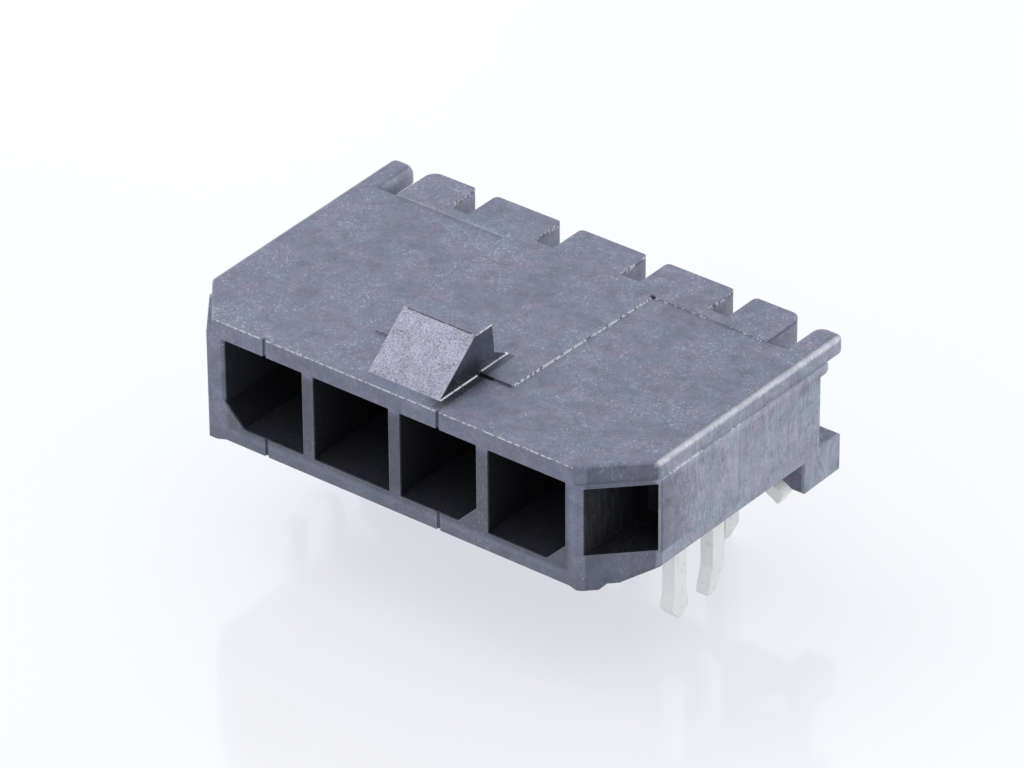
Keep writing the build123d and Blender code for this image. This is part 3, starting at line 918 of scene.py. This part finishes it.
        # faint pale streaks in the pockets, painted highlights
        lines = graph.maths("MULTIPLY", self.flow, self.pockets)
        lines = graph.maths("MULTIPLY", lines, finish.pocket_glints, clamp=True)
        fibres = graph.maths("MULTIPLY", self.fibres, finish.hollow_fibres)
        marks = graph.maths("ADD", lines, fibres, clamp=True)
        return graph.blend(marks, finish.painted_shade, finish.fibre_and_glint)

    def roughness(self) -> Socket:
        """Works out the roughness, higher on the slope of the latch and inside.

        Returns:
            The roughness.
        """
        graph, finish = self.graph, self.finish
        return graph.chain(
            "ADD",
            finish.roughness,
            graph.maths("MULTIPLY", self.mottle, finish.mottle_roughness),
            graph.maths("MULTIPLY", self.ramp, finish.ramp_roughness),
            graph.maths("MULTIPLY", self.hollow, finish.hollow_roughness),
        )

    def normal(self) -> Socket:
        """Rounded edges and the relief of the grain."""
        return self.graph.bumped(self.grain, self.rounded, self.finish.relief)


@dataclass(frozen=True)
class TinFinish:
    """Matte tin plate with faint drawing lines.

    Args:
        name: the material's name.
        base: its colour.
        metallic: how much it shines as bare metal does.
        roughness: of the plate.
        mottle: light and dark areas.
        line_size: width of a drawing line in millimetres.
        line_length: its length, as a multiple of the width.
        edge_radius: of the rounded edges in millimetres.
        mottle_depth: how far the mottle lightens and darkens.
        line_depth: how far the lines darken.
        mottle_roughness: how much rougher the light areas are.
        relief: strength of the grain's relief.
    """

    name: str
    base: Colour
    metallic: float = 0.25
    roughness: float = 0.38
    mottle: Mottle = Mottle(0.9, 0.6)
    line_size: float = 0.16
    line_length: float = 4.0
    edge_radius: float = 0.04
    mottle_depth: float = 0.14
    line_depth: float = 0.08
    mottle_roughness: float = 0.3
    relief: float = 0.2

    def material(self) -> bpy.types.Material:
        """Builds the material.

        Returns:
            The plated material.
        """
        made, graph, shader = new_material(self.name)
        place = graph.place()
        mottle = self.mottle.value(graph, place)
        line = {"Size": self.line_size, "Length": self.line_length}
        lines = graph.use(Effect.FIBRES, Place=place, **line).outputs
        rounded = graph.use(Effect.EDGES, Radius=self.edge_radius).outputs["Normal"]
        tone = graph.maths("ADD", 1.0, graph.maths("MULTIPLY", mottle, self.mottle_depth))
        dark = graph.maths("MULTIPLY", lines["Fibres"], self.line_depth)
        tone = graph.maths("SUBTRACT", tone, dark)
        rougher = graph.maths("MULTIPLY", mottle, self.mottle_roughness)
        rough = graph.maths("ADD", self.roughness, rougher)
        normal = graph.bumped(lines["Grain"], rounded, self.relief)
        graph.put(graph.times(self.base, tone), shader.inputs["Base Color"])
        graph.put(rough, shader.inputs["Roughness"])
        graph.put(normal, shader.inputs["Normal"])
        shader.inputs["Metallic"].default_value = self.metallic
        return made


@dataclass(frozen=True)
class TableFinish:
    """Glossy white table top.

    Args:
        name: the material's name.
        base: colour by which it lights the object.
        seen_base: colour that is seen.
        seen_glow: glow that is seen.
        unlit: glow by which it lights the object.
        cloud: colour of faint clouds.
        cloud_share: how strongly they show.
        cloud_scale: how many of them go into a metre.
        cloud_levels: noise between which they come out.
        roughness: of the surface.
        index: of refraction.
    """

    name: str = "glossy_white_table"
    base: Colour = (0.90, 0.905, 0.92)
    seen_base: Colour = (0.355, 0.355, 0.352)
    seen_glow: Colour = (0.578, 0.580, 0.614)
    unlit: Colour = (0.0, 0.0, 0.0)
    cloud: Colour = (1.0, 1.0, 1.0)
    cloud_share: float = 0.03
    cloud_scale: float = 35.0
    cloud_levels: Limits = (0.3, 0.7)
    roughness: float = 0.09
    index: float = 1.5

    def material(self) -> bpy.types.Material:
        """Builds the material, which glows a little only where it is seen.

        Returns:
            The table's material.
        """
        made, graph, shader = new_material(self.name)
        noise = graph.noise(graph.place(), self.cloud_scale, detail=2.0)
        clouds = graph.ramp(noise, *self.cloud_levels, 0.0, self.cloud_share)
        seen = graph.seen()
        base = graph.blend(seen, self.base, self.seen_base)
        graph.put(graph.blend(clouds, base, self.cloud), shader.inputs["Base Color"])
        graph.put(graph.blend(seen, self.unlit, self.seen_glow), shader.inputs["Emission Color"])
        shader.inputs["Emission Strength"].default_value = 1.0
        shader.inputs["Roughness"].default_value = self.roughness
        shader.inputs["IOR"].default_value = self.index
        return made


@dataclass
class Housing:
    """The moulded housing."""

    nodes: dict[str, bpy.types.Object]
    finish: MouldedFinish = field(default_factory=MouldedFinish)

    def build(self) -> None:
        """Dresses the housing."""
        dress(self.nodes["housing"], self.finish.material())
        log.info("housing dressed")


@dataclass
class Metalwork:
    """The bent pins and the two board clips."""

    nodes: dict[str, bpy.types.Object]
    pin: TinFinish = TinFinish("tin_plated_pin", (0.92, 0.925, 0.91))
    clip: TinFinish = TinFinish("tin_plated_clip", (0.97, 0.972, 0.95))

    def build(self) -> None:
        """Dresses the pins and clips."""
        pin = self.pin.material()
        clip = self.clip.material()
        for name, node in self.nodes.items():
            if name.startswith("terminal"):
                dress(node, pin)
            elif name.startswith("board_clip"):
                dress(node, clip)
        log.info("pins and clips dressed")


@dataclass(frozen=True)
class SoftBox:
    """Round soft lamp that is turned to the object.

    Args:
        name: its name.
        place: its centre in millimetres.
        size: its width in millimetres.
        power: its radiant power in watts.
    """

    name: str
    place: Triple
    size: float
    power: float


@dataclass
class Studio:
    """Table, soft light and camera.

    Args:
        table_height: of the table top, in millimetres.
        table_half: half of its width, in millimetres.
        look_at: point in the middle of the view, in millimetres.
        azimuth: turn of the camera about the height, in degrees.
        elevation: height of the camera over the board, in degrees.
        roll: tilt of the camera, in degrees.
        distance: from the camera to look_at, in millimetres.
        lens: focal length, in millimetres.
        sensor: width of the sensor, in millimetres.
        clip: nearest and farthest distance that is seen, in millimetres.
        surround: strength of the white surroundings.
        slant: how much stronger they are along each axis.
        sky: their colour.
        boxes: the soft lamps.
    """

    table_height: float = -3.19
    table_half: float = 1500.0
    look_at: Triple = (0.4520, -4.3218, 2.4403)
    azimuth: float = 38.031
    elevation: float = 32.168
    roll: float = -0.374
    distance: float = 188.09
    lens: float = 241.78
    sensor: float = 36.0
    clip: Limits = (10.0, 10000.0)
    surround: float = 0.90
    slant: Triple = (-0.10, 0.04, 0.0)
    sky: Colour = (0.965, 0.98, 1.0)
    boxes: tuple[SoftBox, ...] = (SoftBox("box_left_top", (-252.0, -42.0, 332.0), 260.0, 0.26),)

    def build(self) -> None:
        """Sets up the whole studio."""
        self.table()
        self.world()
        self.lamps()
        self.camera()
        log.info("studio ready")

    def table(self) -> None:
        """Lays the white table top under the tips of the tails."""
        half = self.table_half
        mesh = bpy.data.meshes.new("table_top")
        signs = ((-1.0, -1.0), (1.0, -1.0), (1.0, 1.0), (-1.0, 1.0))
        corners = [millimetres(x * half, y * half, self.table_height) for x, y in signs]
        mesh.from_pydata(corners, [], [(0, 1, 2, 3)])
        table = bpy.data.objects.new("table_top", mesh)
        bpy.context.scene.collection.objects.link(table)
        dress(table, TableFinish().material())

    def world(self) -> None:
        """Sets up white surroundings, a little brighter to the left and the back."""
        world = bpy.data.worlds.new("white_room")
        bpy.context.scene.world = world
        world.use_nodes = True
        graph = Graph(world.node_tree)
        background = world.node_tree.nodes["Background"]
        direction = graph.node("TexCoord").outputs["Generated"]
        strength = graph.maths("ADD", self.surround, graph.dot(direction, self.slant))
        graph.put(self.sky, background.inputs["Color"])
        graph.put(graph.maths("MAXIMUM", strength, graph.seen()), background.inputs["Strength"])

    def lamps(self) -> None:
        """Hangs the soft boxes."""
        for box in self.boxes:
            data = bpy.data.lights.new(box.name, "AREA")
            data.shape = "DISK"
            data.size = box.size * MM
            data.energy = box.power
            lamp = bpy.data.objects.new(box.name, data)
            lamp.location = millimetres(*box.place)
            aim = Vector(millimetres(*self.look_at)) - lamp.location
            lamp.rotation_euler = aim.to_track_quat("-Z", "Y").to_euler()
            bpy.context.scene.collection.objects.link(lamp)

    def camera(self) -> None:
        """Stands the camera where the photograph was taken from."""
        turn = math.radians(self.azimuth)
        rise = math.radians(self.elevation)
        twist = math.radians(self.roll)
        level = math.cos(rise)
        back = Vector((math.sin(turn) * level, -math.cos(turn) * level, math.sin(rise)))
        right = Vector((math.cos(turn), math.sin(turn), 0.0))
        up = back.cross(right)
        tilted_right = math.cos(twist) * right + math.sin(twist) * up
        tilted_up = math.cos(twist) * up - math.sin(twist) * right
        data = bpy.data.cameras.new("camera")
        data.lens = self.lens
        data.sensor_width = self.sensor
        data.clip_start, data.clip_end = millimetres(*self.clip)
        camera = bpy.data.objects.new("camera", data)
        place = Vector(millimetres(*self.look_at)) + back * self.distance * MM
        rows = [(tilted_right[row], tilted_up[row], back[row], place[row]) for row in range(3)]
        camera.matrix_world = Matrix((*rows, (0.0, 0.0, 0.0, 1.0)))
        bpy.context.scene.collection.objects.link(camera)
        bpy.context.scene.camera = camera


def dress(piece: bpy.types.Object, material: bpy.types.Material) -> None:
    """Gives a piece one material in every slot.

    Args:
        piece: the piece.
        material: its material.
    """
    if not piece.data.materials:
        piece.data.materials.append(material)
    for slot in piece.material_slots:
        slot.material = material


def main() -> None:
    """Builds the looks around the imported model."""
    logging.basicConfig(level=logging.INFO, format="%(name)s: %(message)s")
    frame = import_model()
    nodes = frame["nodes"]
    SharedEffects().build()
    Housing(nodes).build()
    Metalwork(nodes).build()
    Studio().build()
    bpy.context.scene.view_settings.view_transform = "Standard"


if __name__ == "__main__":
    main()
